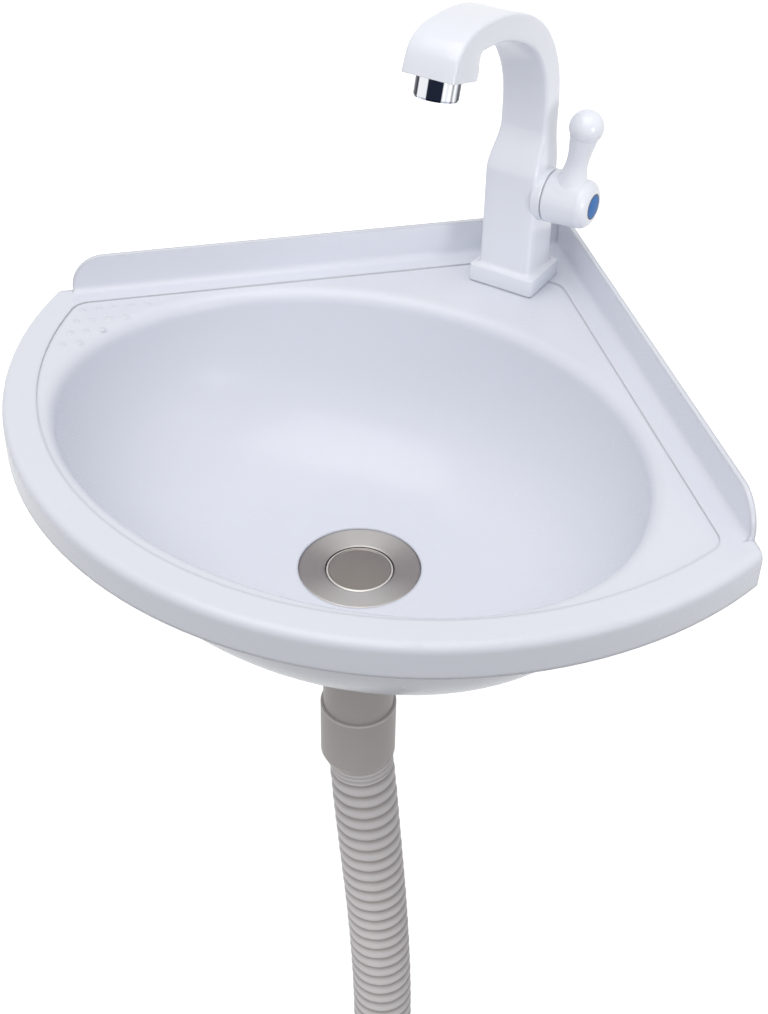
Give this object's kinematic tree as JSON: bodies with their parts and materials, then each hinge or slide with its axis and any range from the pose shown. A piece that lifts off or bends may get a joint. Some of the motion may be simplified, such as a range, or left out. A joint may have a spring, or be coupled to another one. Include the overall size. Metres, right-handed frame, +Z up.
{
  "type": "corner basin",
  "caption": "Small corner wash basin for two walls, with a side-lever swan-neck pillar tap, a push plug waste and a hanging ribbed drain hose.",
  "frame": {"origin": "the room corner: the upright line where the two walls meet, at the height of the deck's top", "axes": "+Z up; +Y into the left wall, whose face is the plane y = 0; +X into the right wall, whose face is the plane x = 0; the basin fills x below 0 and y below 0"},
  "size_m": [0.35, 0.35, 0.996],
  "materials": {
    "basin_plastic": "gloss",
    "tap_white": "gloss",
    "chrome": "polished",
    "brass": "satin",
    "stainless": "satin",
    "rubber": "matt",
    "disc_ceramic": "polished",
    "white_plastic": "satin",
    "hose_plastic": "satin",
    "index_blue": "gloss"
  },
  "bodies": {
    "basin_body": {"basin": "basin_plastic", "tap_body": "tap_white", "tap_gasket": "rubber", "tap_washer": "rubber", "tap_backnut": "brass", "aerator_shell": "chrome", "aerator_screen": "white_plastic", "aerator_washer": "rubber", "valve_cartridge": "brass", "valve_seal": "rubber", "fixed_disc": "disc_ceramic", "spindle_o_ring": "rubber", "waste_flange": "stainless", "flange_gasket": "rubber", "body_gasket": "rubber", "waste_body": "hose_plastic", "plug_guide": "white_plastic", "plug_spring": "stainless", "hose_cuff": "hose_plastic", "cuff_seal": "rubber", "drain_hose": "hose_plastic", "hose_end_cuff": "hose_plastic"},
    "handle": {"tap_handle": "tap_white", "handle_screw": "stainless", "index_button": "index_blue", "valve_spindle": "brass", "moving_disc": "disc_ceramic"},
    "plug": {"plug_cap": "stainless", "plug_seal": "rubber", "plug_stem": "stainless"}
  },
  "joints": [
    {"name": "handle_turn", "type": "hinge", "parent": "basin_body", "child": "handle", "pos_m": [-0.04137, -0.03571, 0.06], "axis": [0.7071, -0.7071, 0], "range_deg": [0, 90]},
    {"name": "plug_press", "type": "slide", "parent": "basin_body", "child": "plug", "axis": [0, 0, 1], "range_m": [0, 0.008], "deforming": ["plug_spring"]}
  ]
}
